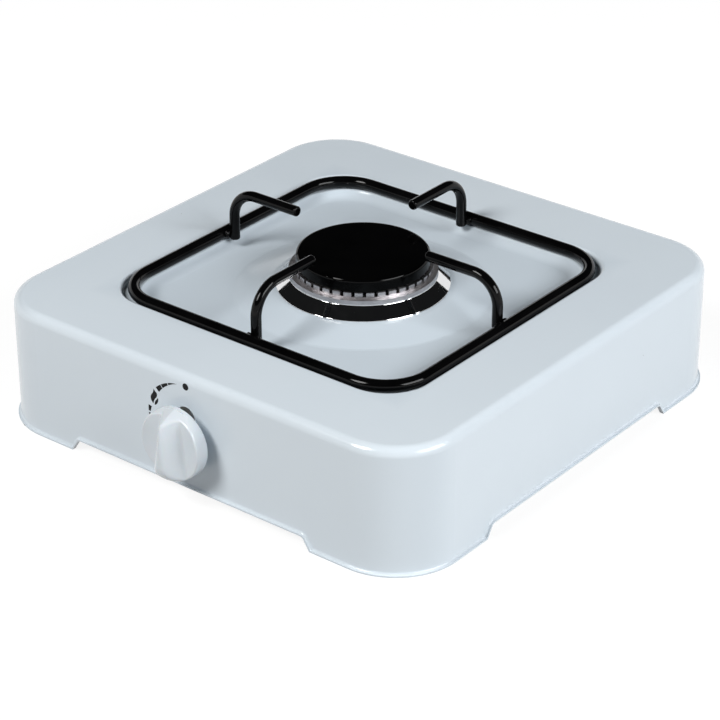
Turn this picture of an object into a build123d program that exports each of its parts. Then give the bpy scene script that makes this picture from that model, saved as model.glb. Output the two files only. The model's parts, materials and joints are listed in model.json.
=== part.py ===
"""Tabletop gas stove with one burner: enamelled body, wire pan support, burner, tap and gas feed.

Frame: the origin is on the burner's axis at table level. +X runs to the right along the front,
+Y to the back and +Z up. The front panel with the knob faces -Y. Sizes are in millimetres.
"""

from build123d import *
import os
from math import atan2, cos, degrees, radians, sin, tan

# Body: a deep-drawn sheet shell that is open underneath
body_width = 280.0
body_depth = 284.0
body_height = 70.4
sheet = 0.8
corner_radius = 36.0
top_edge_radius = 5.0

# Feet: a cut-out in each side leaves four corner feet, and the lower edge is turned outward
foot_height = 7.0
foot_straight_front = 28.5
foot_straight_side = 30.5
cutout_slant = 4.5
cutout_corner_radius = 3.0
lip_reach = 1.6
lip_thickness = 0.9
lip_root_radius = 1.4

# Well: a square recess with a shallow dish and a low round dome that carries the burner
well_half = 97.4
well_corner_radius = 24.0
well_depth = 4.3
well_rim_radius = 2.5
well_foot_radius = 1.4
ledge_width = 5.4
dish_corner_radius = 28.0
dish_depth = 4.0
dish_wall_run = 3.4
dish_rim_radius = 1.2
dish_foot_radius = 8.5
dome_height = 4.2
dome_foot_margin = 23.0
dome_seat_radius = 49.0
dome_edge_radius = 9.0
burner_hole_radius = 43.0

# Pan support: a square wire frame with four bent prongs welded to its inner side
wire_dia = 6.8
frame_wall_gap = 0.6
frame_bend_radius = 26.0
frame_seat_gap = 0.3
prong_dia = 5.7
prong_bend_radius = 15.5
prong_tip_radius = 42.0
prong_top = 98.6
prong_end_rise = 0.6
prong_end_rounding = 1.0
prong_weld_depth = 0.15
prong_shift_left = -3.0
prong_shift_right = 0.4
prong_rise_left = 0.6
prong_rise_right = -1.3

# Burner: chrome trim ring, cast cup with its mixing tube, slotted crown and enamelled cap
ring_foot_radius = 46.6
ring_top_radius = 39.8
ring_foot_height = 0.6
ring_cone_height = 5.5
ring_neck_height = 0.6
ring_sheet = 0.8
ring_edge_radius = 0.4
cup_radius = 38.4
cup_bore_radius = 35.4
cup_flange_height = 2.2
cup_floor = 3.0
cup_depth = 25.2
crown_radius = 37.4
crown_bore_radius = 31.0
crown_height = 3.2
crown_spigot_depth = 5.0
crown_spigot_wall = 2.2
crown_clearance = 0.2
slot_count = 39
slot_start = 4.8
slot_width = 1.9
slot_height = 2.2
cap_radius = 36.1
cap_draft = 0.6
cap_height = 6.9
cap_edge_radius = 2.0
cap_plate = 2.5
cap_spigot_depth = 2.2
cap_spigot_wall = 2.2
cap_clearance = 0.3
mixer_radius = 11.0
mixer_bore_radius = 8.5
mixer_mouth_radius = 14.0
mixer_mouth_bore_radius = 11.5
mixer_mouth_length = 6.0
neck_radius = 13.0
neck_bore_radius = 10.0

# Burner bridge: a sheet strip welded under the deck on both sides of the well, with a slot for the
# burner's neck
bridge_width = 44.0
bridge_sheet = 1.5
bridge_leg_gap = 3.0
bridge_foot_length = 7.5
bridge_bend_radius = 2.5
bridge_slot_clearance = 1.0
burner_screw_x = 24.0
burner_screw_radius = 2.4
burner_screw_head_radius = 4.5
burner_screw_head_height = 2.6
burner_screw_grip = 5.0
burner_boss_radius = 5.0
burner_boss_height = 4.0
screw_clearance = 0.15
screw_slot_width = 1.0
screw_slot_depth = 1.0

# Tap: axis along Y behind the front panel
tap_z = 36.2
tap_setback = 9.0
tap_body_radius = 8.5
tap_body_length = 29.0
tap_ear_thickness = 3.0
tap_ear_radius = 5.0
tap_screw_offset = 12.6
tap_chamber_radius = 6.8
tap_chamber_depth = 9.0
tap_cone_depth = 16.0
tap_cone_end_radius = 5.4
tap_gas_bore_radius = 2.0
tap_nipple_radius = 4.0
tap_nipple_length = 6.0
tap_inlet_setback = 18.0
tap_inlet_radius = 6.5
tap_inlet_reach = 20.0
tap_inlet_bore_radius = 2.5
bonnet_thickness = 1.5
bonnet_neck_radius = 6.2
bonnet_neck_height = 4.0
tap_bracket_sheet = 1.5
tap_bracket_width = 30.0
tap_bracket_drop = 20.0
tap_bracket_edge_gap = 0.5
tap_bracket_bend_radius = 2.5
tap_screw_radius = 1.95
tap_screw_head_radius = 3.3
tap_screw_head_height = 2.4
tap_nut_flats = 7.0
tap_nut_height = 3.0
tap_screw_tail = 1.0
plug_clearance = 0.05
plug_end_gap = 0.3
blade_thickness = 3.0
blade_width = 8.0
blade_clearance = 0.06
blade_engagement = 3.0
blade_end_gap = 0.6
spindle_radius = 4.0
spindle_clearance = 0.08
spindle_neck_radius = 2.5
spindle_flat_height = 2.8
collar_radius = 6.3
collar_thickness = 1.5
collar_float = 0.05
push_travel = 3.0
spring_radius = 5.2
spring_wire = 0.8
spring_turns = 4
spring_seat_gap = 0.05
injector_flats = 11.0
injector_hex_length = 8.0
injector_lap = 5.0
injector_nose_length = 7.0
injector_nose_radius = 4.0
injector_tip_radius = 2.5
injector_jet_radius = 0.4
injector_jet_length = 2.0
injector_air_gap = 4.0
thread_clearance = 0.05

# Gas feed: pipe, union nuts, inlet connector in the rear wall and a clip on the bridge
pipe_radius = 4.0
pipe_bore_radius = 3.0
pipe_bend_radius = 16.0
pipe_clearance = 0.1
inlet_x = 46.0
union_flats = 17.0
union_lap = 6.0
union_length = 13.0
inlet_thread_radius = 6.5
inlet_inner_length = 24.0
inlet_flange_flats = 19.0
inlet_flange_length = 4.0
inlet_hole_clearance = 0.3
inlet_thread_length = 7.0
washer_radius = 11.0
washer_thickness = 1.0
lock_nut_length = 5.0
barb_count = 4
barb_pitch = 3.5
barb_root_radius = 4.0
barb_crest_radius = 5.0
clip_y = 8.0
clip_sheet = 1.0
clip_width = 10.0
clip_tab_length = 11.0
clip_screw_inset = 4.0
clip_screw_radius = 1.9
clip_screw_head_radius = 3.4
clip_screw_head_height = 2.2
clip_screw_tail = 3.0

# Knob: a domed body on a round skirt, with a gabled nose and a finger scoop on each side
panel_hole_clearance = 0.6
panel_slot_radius = 6.2
panel_slot_offset = 10.7
knob_standoff = 5.2
knob_radius = 19.0
knob_skirt = 2.6
knob_skirt_rounding = 0.8
knob_reach = 21.0
knob_dome_radius = 11.0
nose_slope = 18.9
nose_side_slope = 12.5
scoop_top_x = 4.4
scoop_top_z = 4.6
scoop_low_x = 6.6
scoop_low_z = -11.0
scoop_upper_angle = 49.4
scoop_lower_angle = 15.8
scoop_corner_radius = 7.0
scoop_draft = 22.0
scoop_floor = 2.4
hub_radius = 8.0
hub_length = 4.8
knob_bore_clearance = 0.05
knob_bore_end_gap = 0.3
spindle_in_knob = 7.6
flat_run_out = 1.2
knob_clip_thickness = 0.5
knob_clip_length = 6.0
knob_clip_width = 4.0
knob_clip_inset = 1.0

# A fillet takes at most this share of the wall that it rounds
fillet_share = 0.9

# Levels and places that follow from the sizes above
front_cutout_half = body_width / 2 - corner_radius - foot_straight_front
side_cutout_half = body_depth / 2 - corner_radius - foot_straight_side
dish_half = well_half - ledge_width
dome_foot_radius = dish_half - dome_foot_margin
frame_half = well_half - frame_wall_gap - wire_dia / 2
bridge_leg_x = well_half + sheet + bridge_leg_gap
ledge_z = body_height - well_depth
dish_z = ledge_z - dish_depth
dome_z = dish_z + dome_height
frame_z = ledge_z + frame_seat_gap + wire_dia / 2
prong_end_z = ledge_z + frame_seat_gap + prong_end_rise
prong_leg_radius = frame_half - (wire_dia + prong_dia) / 2 + prong_weld_depth
ring_top_z = dome_z + ring_foot_height + ring_cone_height + ring_neck_height
cup_top_z = ring_top_z + cup_flange_height
cup_base_z = cup_top_z - cup_depth
crown_top_z = cup_top_z + crown_height
cap_top_z = crown_top_z + cap_height
front_y = -body_depth / 2
back_y = body_depth / 2
tap_front_y = front_y + tap_setback
tap_back_y = tap_front_y + tap_body_length
chamber_end_y = tap_front_y + tap_chamber_depth
cone_end_y = chamber_end_y + tap_cone_depth
bonnet_y = tap_front_y - bonnet_thickness
bracket_y = tap_front_y + tap_ear_thickness
nut_y = bracket_y + tap_bracket_sheet
tap_inlet_y = tap_front_y + tap_inlet_setback
nipple_end_y = tap_back_y + tap_nipple_length
injector_y = nipple_end_y - injector_lap
injector_tip_y = injector_y + injector_hex_length + injector_nose_length
mixer_mouth_y = injector_tip_y + injector_air_gap
collar_front_y = tap_front_y + collar_float
collar_back_y = collar_front_y + collar_thickness
blade_start_y = chamber_end_y - blade_engagement
blade_end_y = chamber_end_y + blade_engagement
spindle_front_y = front_y - spindle_in_knob
inner_back_y = back_y - sheet
inlet_start_y = inner_back_y - inlet_inner_length
bridge_top_z = cup_base_z
bridge_under_z = bridge_top_z - bridge_sheet
skirt_back_y = front_y - knob_standoff
skirt_front_y = skirt_back_y - knob_skirt
hub_back_y = skirt_back_y + hub_length

os.makedirs("parts", exist_ok=True)


def save(part, name):
    """Label a finished piece and write it under its own name."""
    part.label = name
    export_step(part, f"parts/{name}.step")


def along_y(y, x=0.0, z=tap_z):
    """Plane at a place on an axis that runs to the back: local X is +X, local Y is -Z."""
    return Plane(origin=(x, y, z), x_dir=(1, 0, 0), z_dir=(0, 1, 0))


def along_minus_y(y, x=0.0, z=tap_z):
    """Plane facing the front: local X is +X, local Y is +Z."""
    return Plane(origin=(x, y, z), x_dir=(1, 0, 0), z_dir=(0, -1, 0))


def along_x(x, y, z=tap_z):
    """Plane at a place on an axis that runs to the right: local X is +Y, local Y is +Z."""
    return Plane(origin=(x, y, z), x_dir=(0, 1, 0), z_dir=(1, 0, 0))


def slope_room(rise, turn):
    """Largest sum of the radii of the two roundings on a slope that rises at an angle in degrees."""
    slope = rise / sin(radians(turn))
    return fillet_share * slope / tan(radians(turn / 2))


def cutout_outline(half_length, grow):
    """Foot cut-out in a side's elevation: level top, slanted ends that run on below the floor."""
    low_x = half_length + 2 * cutout_slant
    with BuildSketch(mode=Mode.PRIVATE) as outline:
        with BuildLine():
            FilletPolyline(
                (-low_x, -foot_height),
                (-half_length, foot_height),
                (half_length, foot_height),
                (low_x, -foot_height),
                radius=cutout_corner_radius,
            )
            Line((low_x, -foot_height), (-low_x, -foot_height))
        make_face()
        if grow > 0:
            offset(amount=grow, kind=Kind.ARC)
    return outline.sketch


# Body shell
sides = (
    (Plane(origin=(0, front_y, 0), x_dir=(1, 0, 0), z_dir=(0, -1, 0)), front_cutout_half),
    (Plane(origin=(0, back_y, 0), x_dir=(-1, 0, 0), z_dir=(0, 1, 0)), front_cutout_half),
    (Plane(origin=(body_width / 2, 0, 0), x_dir=(0, 1, 0), z_dir=(1, 0, 0)), side_cutout_half),
    (Plane(origin=(-body_width / 2, 0, 0), x_dir=(0, -1, 0), z_dir=(-1, 0, 0)), side_cutout_half),
)
with BuildPart() as body_shell:
    with BuildSketch():
        RectangleRounded(body_width, body_depth, corner_radius)
    extrude(amount=body_height)
    fillet(edges().group_by(Axis.Z)[-1], top_edge_radius)
    with BuildSketch(Plane.XY.offset(ledge_z)):
        RectangleRounded(2 * well_half, 2 * well_half, well_corner_radius)
    extrude(amount=well_depth, mode=Mode.SUBTRACT)
    well_loops = edges(Select.LAST).filter_by(Axis.Z, reverse=True).group_by(Axis.Z)
    well_foot = min(well_foot_radius, well_depth / 3)
    fillet(well_loops[-1], min(well_rim_radius, fillet_share * (well_depth - well_foot)))
    fillet(edges().filter_by_position(Axis.Z, ledge_z, ledge_z), well_foot)
    dish_slope = degrees(atan2(dish_depth, dish_wall_run))
    with BuildSketch(Plane.XY.offset(ledge_z)):
        RectangleRounded(2 * dish_half, 2 * dish_half, dish_corner_radius)
    extrude(amount=-dish_depth, taper=90 - dish_slope, mode=Mode.SUBTRACT)
    dish_room = slope_room(dish_depth, dish_slope)
    dish_rim = min(dish_rim_radius, dish_room / 2)
    fillet(edges(Select.LAST).group_by(Axis.Z)[-1], dish_rim)
    dish_foot = edges().filter_by_position(Axis.Z, dish_z, dish_z)
    fillet(dish_foot, min(dish_foot_radius, dish_room - dish_rim))
    dome_slope = degrees(atan2(dome_height, dome_foot_radius - dome_seat_radius))
    dome_edge = min(dome_edge_radius, slope_room(dome_height, dome_slope) / 2)
    dome_flat_radius = dome_foot_radius + 2 * dome_edge * tan(radians(dome_slope / 2))
    with BuildSketch(Plane.XZ):
        with BuildLine():
            FilletPolyline(
                (dome_flat_radius, dish_z),
                (dome_foot_radius, dish_z),
                (dome_seat_radius, dome_z),
                (0, dome_z),
                radius=dome_edge,
            )
            Polyline(
                (0, dome_z),
                (0, dish_z - sheet),
                (dome_flat_radius, dish_z - sheet),
                (dome_flat_radius, dish_z),
            )
        make_face()
    revolve(axis=Axis.Z)
    offset(amount=-sheet, openings=faces().sort_by(Axis.Z)[0])
    # Turned-out lower edge, which also follows the cut-outs
    with BuildSketch():
        RectangleRounded(
            body_width + 2 * lip_reach, body_depth + 2 * lip_reach, corner_radius + lip_reach
        )
        RectangleRounded(
            body_width - sheet, body_depth - sheet, corner_radius - sheet / 2, mode=Mode.SUBTRACT
        )
    extrude(amount=lip_thickness)
    for side, half_length in sides:
        with BuildSketch(side.offset(-sheet / 2)):
            add(cutout_outline(half_length, lip_thickness))
            with Locations((0, -foot_height)):
                Rectangle(body_width, 2 * foot_height, mode=Mode.SUBTRACT)
        extrude(amount=lip_reach + sheet / 2)
    for side, half_length in sides:
        with BuildSketch(side.offset(lip_reach)):
            add(cutout_outline(half_length, 0))
        extrude(amount=-2 * (lip_reach + sheet), mode=Mode.SUBTRACT)
    wall_faces = faces().filter_by(GeomType.PLANE).filter_by(
        lambda f: abs(abs(f.center().X) - body_width / 2) < 1e-3
        or abs(abs(f.center().Y) - body_depth / 2) < 1e-3
    )
    corner_faces = faces().filter_by(GeomType.CYLINDER).filter_by(
        lambda f: abs(f.radius - corner_radius) < 1e-3
    )
    lip_roots = (wall_faces + corner_faces).edges().filter_by(
        lambda e: e.bounding_box().max.Z < foot_height + 2 * lip_thickness
    )
    fillet(lip_roots, min(lip_root_radius, fillet_share * lip_reach))
    # Openings for the burner, the knob and the gas inlet
    with BuildSketch(Plane.XY.offset(dome_z)):
        Circle(burner_hole_radius)
    extrude(amount=-2 * dome_height, mode=Mode.SUBTRACT)
    with BuildSketch(along_minus_y(front_y)):
        Circle(hub_radius + panel_hole_clearance)
        SlotCenterToCenter(2 * panel_slot_offset, 2 * panel_slot_radius, rotation=90)
    extrude(amount=-2 * sheet, mode=Mode.SUBTRACT)
    with BuildSketch(along_y(back_y, inlet_x)):
        Circle(inlet_thread_radius + inlet_hole_clearance)
    extrude(amount=-2 * sheet, mode=Mode.SUBTRACT)
save(body_shell.part, "body_shell")

# Pan support frame
with BuildPart() as pan_support_frame:
    with BuildLine(Plane.XY.offset(frame_z)) as frame_path:
        FilletPolyline(
            (-frame_half, -frame_half),
            (frame_half, -frame_half),
            (frame_half, frame_half),
            (-frame_half, frame_half),
            radius=frame_bend_radius,
            close=True,
        )
    with BuildSketch(Plane(origin=frame_path.line @ 0, z_dir=frame_path.line % 0)):
        Circle(wire_dia / 2)
    sweep()
save(pan_support_frame.part, "pan_support_frame")


def make_prong(angle, shift, rise):
    """One prong: an upright leg on the frame's inner side, bent level towards the burner's axis."""
    out = Vector(cos(radians(angle)), sin(radians(angle)), 0)
    aside = Vector(-out.Y, out.X, 0)
    upright = Plane(origin=aside * shift, x_dir=out, z_dir=aside * -1)
    arm_z = prong_top - prong_dia / 2 + rise
    with BuildPart() as prong:
        with BuildLine(upright) as prong_path:
            FilletPolyline(
                (prong_leg_radius, prong_end_z),
                (prong_leg_radius, arm_z),
                (prong_tip_radius, arm_z),
                radius=prong_bend_radius,
            )
        with BuildSketch(Plane(origin=prong_path.line @ 0, z_dir=prong_path.line % 0)):
            Circle(prong_dia / 2)
        sweep()
        fillet(faces().filter_by(GeomType.PLANE).edges(), prong_end_rounding)
    return prong.part


# Prongs, named by the side they stand on; a shift is along +Y on the left and right sides
prongs = (
    ("prong_right", 0, prong_shift_right, prong_rise_right),
    ("prong_back", 90, 0, 0),
    ("prong_left", 180, -prong_shift_left, prong_rise_left),
    ("prong_front", 270, 0, 0),
)
for prong_name, prong_angle, prong_shift, prong_rise in prongs:
    save(make_prong(prong_angle, prong_shift, prong_rise), prong_name)

# Trim ring
with BuildPart() as trim_ring:
    ring_shoulder_z = dome_z + ring_foot_height
    ring_neck_z = ring_shoulder_z + ring_cone_height
    with BuildSketch(Plane.XZ):
        with BuildLine():
            Polyline(
                (ring_foot_radius, dome_z),
                (ring_foot_radius, ring_shoulder_z),
                (ring_top_radius, ring_neck_z),
                (ring_top_radius, ring_top_z),
                (ring_top_radius - ring_sheet, ring_top_z),
                (ring_top_radius - ring_sheet, ring_neck_z - ring_sheet),
                (ring_foot_radius - 2 * ring_sheet, dome_z),
                close=True,
            )
        make_face()
    revolve(axis=Axis.Z)
    ring_shoulder = edges().filter_by_position(Axis.Z, ring_shoulder_z, ring_shoulder_z)
    ring_neck = edges().filter_by_position(Axis.Z, ring_neck_z, ring_neck_z)
    ring_wall = min(ring_foot_height, ring_neck_height, ring_sheet)
    fillet(ring_shoulder + ring_neck, min(ring_edge_radius, fillet_share * ring_wall))
save(trim_ring.part, "trim_ring")

# Burner cup with its neck and mixing tube
with BuildPart() as burner_cup:
    cup_floor_z = cup_base_z + cup_floor
    with BuildSketch(Plane.XZ):
        with BuildLine():
            Polyline(
                (0, cup_base_z),
                (cup_radius, cup_base_z),
                (cup_radius, ring_top_z),
                (ring_top_radius, ring_top_z),
                (ring_top_radius, cup_top_z),
                (cup_bore_radius, cup_top_z),
                (cup_bore_radius, cup_floor_z),
                (0, cup_floor_z),
                close=True,
            )
        make_face()
    revolve(axis=Axis.Z)
    with BuildSketch(Plane.XY.offset(cup_floor_z)):
        with Locations((burner_screw_x, 0), (-burner_screw_x, 0)):
            Circle(burner_boss_radius)
    extrude(amount=burner_boss_height)
    with BuildSketch(Plane.XY.offset(tap_z)):
        Circle(neck_radius)
    extrude(amount=cup_base_z - tap_z)
    with Locations((0, 0, tap_z)):
        Sphere(neck_radius)
    with BuildSketch(along_minus_y(0)):
        Circle(mixer_radius)
    extrude(amount=-mixer_mouth_y)
    with BuildSketch(along_y(mixer_mouth_y)):
        Circle(mixer_mouth_radius)
    with BuildSketch(along_y(mixer_mouth_y + mixer_mouth_length)):
        Circle(mixer_radius)
    loft()
    with BuildSketch(along_y(mixer_mouth_y)):
        Circle(mixer_mouth_bore_radius)
    with BuildSketch(along_y(mixer_mouth_y + mixer_mouth_length)):
        Circle(mixer_bore_radius)
    loft(mode=Mode.SUBTRACT)
    with BuildSketch(along_minus_y(0)):
        Circle(mixer_bore_radius)
    extrude(amount=-mixer_mouth_y, mode=Mode.SUBTRACT)
    with Locations((0, 0, tap_z)):
        Sphere(neck_bore_radius, mode=Mode.SUBTRACT)
    with BuildSketch(Plane.XY.offset(tap_z)):
        Circle(neck_bore_radius)
    extrude(amount=cup_floor_z - tap_z, mode=Mode.SUBTRACT)
    with BuildSketch(Plane.XY.offset(cup_base_z)):
        with Locations((burner_screw_x, 0), (-burner_screw_x, 0)):
            Circle(burner_screw_radius + screw_clearance)
    extrude(amount=burner_screw_grip + 2 * screw_clearance, mode=Mode.SUBTRACT)
save(burner_cup.part, "burner_cup")

# Burner crown: a ring with flame slots that drops into the cup
with BuildPart() as burner_crown:
    spigot_radius = cup_bore_radius - crown_clearance
    spigot_bore_radius = spigot_radius - crown_spigot_wall
    with BuildSketch(Plane.XZ):
        with BuildLine():
            Polyline(
                (crown_bore_radius, crown_top_z),
                (crown_radius, crown_top_z),
                (crown_radius, cup_top_z),
                (spigot_radius, cup_top_z),
                (spigot_radius, cup_top_z - crown_spigot_depth),
                (spigot_bore_radius, cup_top_z - crown_spigot_depth),
                (spigot_bore_radius, cup_top_z),
                (crown_bore_radius, cup_top_z),
                close=True,
            )
        make_face()
    revolve(axis=Axis.Z)
    with BuildSketch(Plane.XY.offset(crown_top_z - slot_height)):
        with PolarLocations((crown_radius + crown_bore_radius) / 2, slot_count, slot_start):
            Rectangle(2 * (crown_radius - crown_bore_radius), slot_width)
    extrude(amount=2 * slot_height, mode=Mode.SUBTRACT)
save(burner_crown.part, "burner_crown")

# Burner cap: a shallow bell whose skirt sits inside the crown
with BuildPart() as burner_cap:
    cap_spigot_radius = crown_bore_radius - cap_clearance
    cap_bore_radius = cap_spigot_radius - cap_spigot_wall
    with BuildSketch(Plane.XZ):
        with BuildLine():
            Polyline(
                (0, cap_top_z),
                (cap_radius - cap_draft, cap_top_z),
                (cap_radius, crown_top_z),
                (cap_spigot_radius, crown_top_z),
                (cap_spigot_radius, crown_top_z - cap_spigot_depth),
                (cap_bore_radius, crown_top_z - cap_spigot_depth),
                (cap_bore_radius, cap_top_z - cap_plate),
                (0, cap_top_z - cap_plate),
                close=True,
            )
        make_face()
    revolve(axis=Axis.Z)
    fillet(edges().filter_by_position(Axis.Z, cap_top_z, cap_top_z), cap_edge_radius)
save(burner_cap.part, "burner_cap")

# Burner bridge
with BuildPart() as burner_bridge:
    bridge_mid_z = bridge_top_z - bridge_sheet / 2
    bridge_foot_z = body_height - sheet - bridge_sheet / 2
    bridge_end_x = bridge_leg_x + bridge_foot_length
    with BuildSketch(Plane.XZ):
        with BuildLine():
            FilletPolyline(
                (-bridge_end_x, bridge_foot_z),
                (-bridge_leg_x, bridge_foot_z),
                (-bridge_leg_x, bridge_mid_z),
                (bridge_leg_x, bridge_mid_z),
                (bridge_leg_x, bridge_foot_z),
                (bridge_end_x, bridge_foot_z),
                radius=bridge_bend_radius,
            )
        trace(line_width=bridge_sheet)
    extrude(amount=bridge_width / 2, both=True)
    slot_radius = neck_radius + bridge_slot_clearance
    with BuildSketch(Plane.XY.offset(bridge_under_z)):
        Circle(slot_radius)
        with Locations((0, -bridge_width / 2)):
            Rectangle(2 * slot_radius, bridge_width)
        with Locations((burner_screw_x, 0), (-burner_screw_x, 0)):
            Circle(burner_screw_radius + screw_clearance)
        with Locations((inlet_x + pipe_radius + clip_tab_length - clip_screw_inset, clip_y)):
            Circle(clip_screw_radius + screw_clearance)
    extrude(amount=bridge_sheet, mode=Mode.SUBTRACT)
save(burner_bridge.part, "burner_bridge")

# Burner screws, driven up through the bridge into the cup
with BuildPart() as burner_screws:
    burner_screw_places = ((burner_screw_x, 0), (-burner_screw_x, 0))
    with BuildSketch(Plane.XY.offset(bridge_under_z)):
        with Locations(*burner_screw_places):
            Circle(burner_screw_head_radius)
    extrude(amount=-burner_screw_head_height)
    with BuildSketch(Plane.XY.offset(bridge_under_z)):
        with Locations(*burner_screw_places):
            Circle(burner_screw_radius)
    extrude(amount=bridge_sheet + burner_screw_grip)
    with BuildSketch(Plane.XY.offset(bridge_under_z - burner_screw_head_height)):
        with Locations(*burner_screw_places):
            Rectangle(2 * burner_screw_head_radius, screw_slot_width)
    extrude(amount=screw_slot_depth, mode=Mode.SUBTRACT)
save(burner_screws.part, "burner_screws")

# Tap body
with BuildPart() as tap_body:
    with BuildSketch(along_y(tap_front_y)):
        Circle(tap_body_radius)
        SlotCenterToCenter(2 * tap_screw_offset, 2 * tap_ear_radius, rotation=90)
    extrude(amount=tap_ear_thickness)
    with BuildSketch(along_y(tap_front_y)):
        Circle(tap_body_radius)
    extrude(amount=tap_body_length)
    with BuildSketch(along_y(tap_back_y)):
        Circle(tap_nipple_radius)
    extrude(amount=tap_nipple_length)
    with BuildSketch(along_x(0, tap_inlet_y)):
        Circle(tap_inlet_radius)
    extrude(amount=tap_inlet_reach)
    with BuildSketch(along_y(tap_front_y)):
        Circle(tap_chamber_radius)
        with Locations((0, tap_screw_offset), (0, -tap_screw_offset)):
            Circle(tap_screw_radius + screw_clearance)
    extrude(amount=tap_chamber_depth, mode=Mode.SUBTRACT)
    with BuildSketch(along_y(chamber_end_y)):
        Circle(tap_chamber_radius)
    with BuildSketch(along_y(cone_end_y)):
        Circle(tap_cone_end_radius)
    loft(mode=Mode.SUBTRACT)
    with BuildSketch(along_y(cone_end_y)):
        Circle(tap_gas_bore_radius)
    extrude(amount=nipple_end_y - cone_end_y, mode=Mode.SUBTRACT)
    with BuildSketch(along_x(0, tap_inlet_y)):
        Circle(tap_inlet_bore_radius)
    extrude(amount=tap_inlet_reach, mode=Mode.SUBTRACT)
save(tap_body.part, "tap_body")

# Tap plug: a tapered cock with a side port that meets the inlet a quarter turn from off
with BuildPart() as tap_plug:
    plug_end_y = cone_end_y - plug_end_gap
    taper_share = (tap_cone_depth - plug_end_gap) / tap_cone_depth
    plug_end_radius = tap_chamber_radius + (tap_cone_end_radius - tap_chamber_radius) * taper_share
    with BuildSketch(along_y(chamber_end_y)):
        Circle(tap_chamber_radius - plug_clearance)
    with BuildSketch(along_y(plug_end_y)):
        Circle(plug_end_radius - plug_clearance)
    loft()
    with BuildSketch(along_y(chamber_end_y)):
        Rectangle(blade_thickness + 2 * blade_clearance, 2 * tap_chamber_radius)
    extrude(amount=blade_engagement + push_travel + blade_end_gap, mode=Mode.SUBTRACT)
    with BuildSketch(along_y(tap_inlet_y)):
        Circle(tap_gas_bore_radius)
    extrude(amount=plug_end_y - tap_inlet_y, mode=Mode.SUBTRACT)
    with BuildSketch(Plane(origin=(0, tap_inlet_y, tap_z), x_dir=(1, 0, 0), z_dir=(0, 0, -1))):
        Circle(tap_gas_bore_radius)
    extrude(amount=tap_chamber_radius, mode=Mode.SUBTRACT)
save(tap_plug.part, "tap_plug")

# Tap spindle: D-shaped end for the knob, collar under the bonnet and blade in the plug's slot
with BuildPart() as tap_spindle:
    with BuildSketch(along_y(spindle_front_y)):
        Circle(spindle_radius)
    extrude(amount=collar_back_y - spindle_front_y)
    with BuildSketch(along_y(collar_front_y)):
        Circle(collar_radius)
    extrude(amount=collar_thickness)
    with BuildSketch(along_y(collar_back_y)):
        Circle(spindle_neck_radius)
    extrude(amount=blade_start_y - collar_back_y)
    with BuildSketch(along_y(blade_start_y)):
        Rectangle(blade_thickness, blade_width)
    extrude(amount=blade_end_y - blade_start_y)
    flat_rise = spindle_radius - spindle_flat_height
    with BuildSketch(along_minus_y(spindle_front_y)):
        with Locations((0, spindle_flat_height + flat_rise)):
            Rectangle(2 * spindle_radius, 2 * flat_rise)
    extrude(amount=spindle_front_y - hub_back_y - flat_run_out, mode=Mode.SUBTRACT)
save(tap_spindle.part, "tap_spindle")

# Tap spring, between the plug and the spindle's collar
with BuildPart() as tap_spring:
    spring_start_y = collar_back_y + spring_seat_gap + spring_wire / 2
    spring_length = chamber_end_y - spring_seat_gap - spring_wire / 2 - spring_start_y
    with BuildLine() as spring_path:
        Helix(
            pitch=spring_length / spring_turns,
            height=spring_length,
            radius=spring_radius,
            center=(0, spring_start_y, tap_z),
            direction=(0, 1, 0),
        )
    with BuildSketch(Plane(origin=spring_path.line @ 0, z_dir=spring_path.line % 0)):
        Circle(spring_wire / 2)
    sweep()
save(tap_spring.part, "tap_spring")

# Tap bonnet: a plate over the tap's ears with a short neck round the spindle
with BuildPart() as tap_bonnet:
    with BuildSketch(along_y(bonnet_y)):
        Circle(tap_body_radius)
        SlotCenterToCenter(2 * tap_screw_offset, 2 * tap_ear_radius, rotation=90)
    extrude(amount=bonnet_thickness)
    with BuildSketch(along_minus_y(bonnet_y)):
        Circle(bonnet_neck_radius)
    extrude(amount=bonnet_neck_height)
    with BuildSketch(along_y(bonnet_y - bonnet_neck_height)):
        Circle(spindle_radius + spindle_clearance)
        with Locations((0, tap_screw_offset), (0, -tap_screw_offset)):
            Circle(tap_screw_radius + screw_clearance)
    extrude(amount=bonnet_neck_height + bonnet_thickness, mode=Mode.SUBTRACT)
save(tap_bonnet.part, "tap_bonnet")

# Tap bracket: an angle welded under the top that carries the tap
with BuildPart() as tap_bracket:
    plate_mid_y = bracket_y + tap_bracket_sheet / 2
    flange_mid_z = body_height - sheet - tap_bracket_sheet / 2
    with BuildSketch(Plane.YZ):
        with BuildLine():
            FilletPolyline(
                (plate_mid_y, tap_z - tap_bracket_drop),
                (plate_mid_y, flange_mid_z),
                (front_y + top_edge_radius + tap_bracket_edge_gap, flange_mid_z),
                radius=tap_bracket_bend_radius,
            )
        trace(line_width=tap_bracket_sheet)
    extrude(amount=tap_bracket_width / 2, both=True)
    with BuildSketch(along_y(bracket_y)):
        Circle(tap_body_radius + screw_clearance)
        with Locations((0, tap_screw_offset), (0, -tap_screw_offset)):
            Circle(tap_screw_radius + screw_clearance)
    extrude(amount=tap_bracket_sheet, mode=Mode.SUBTRACT)
save(tap_bracket.part, "tap_bracket")

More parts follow.
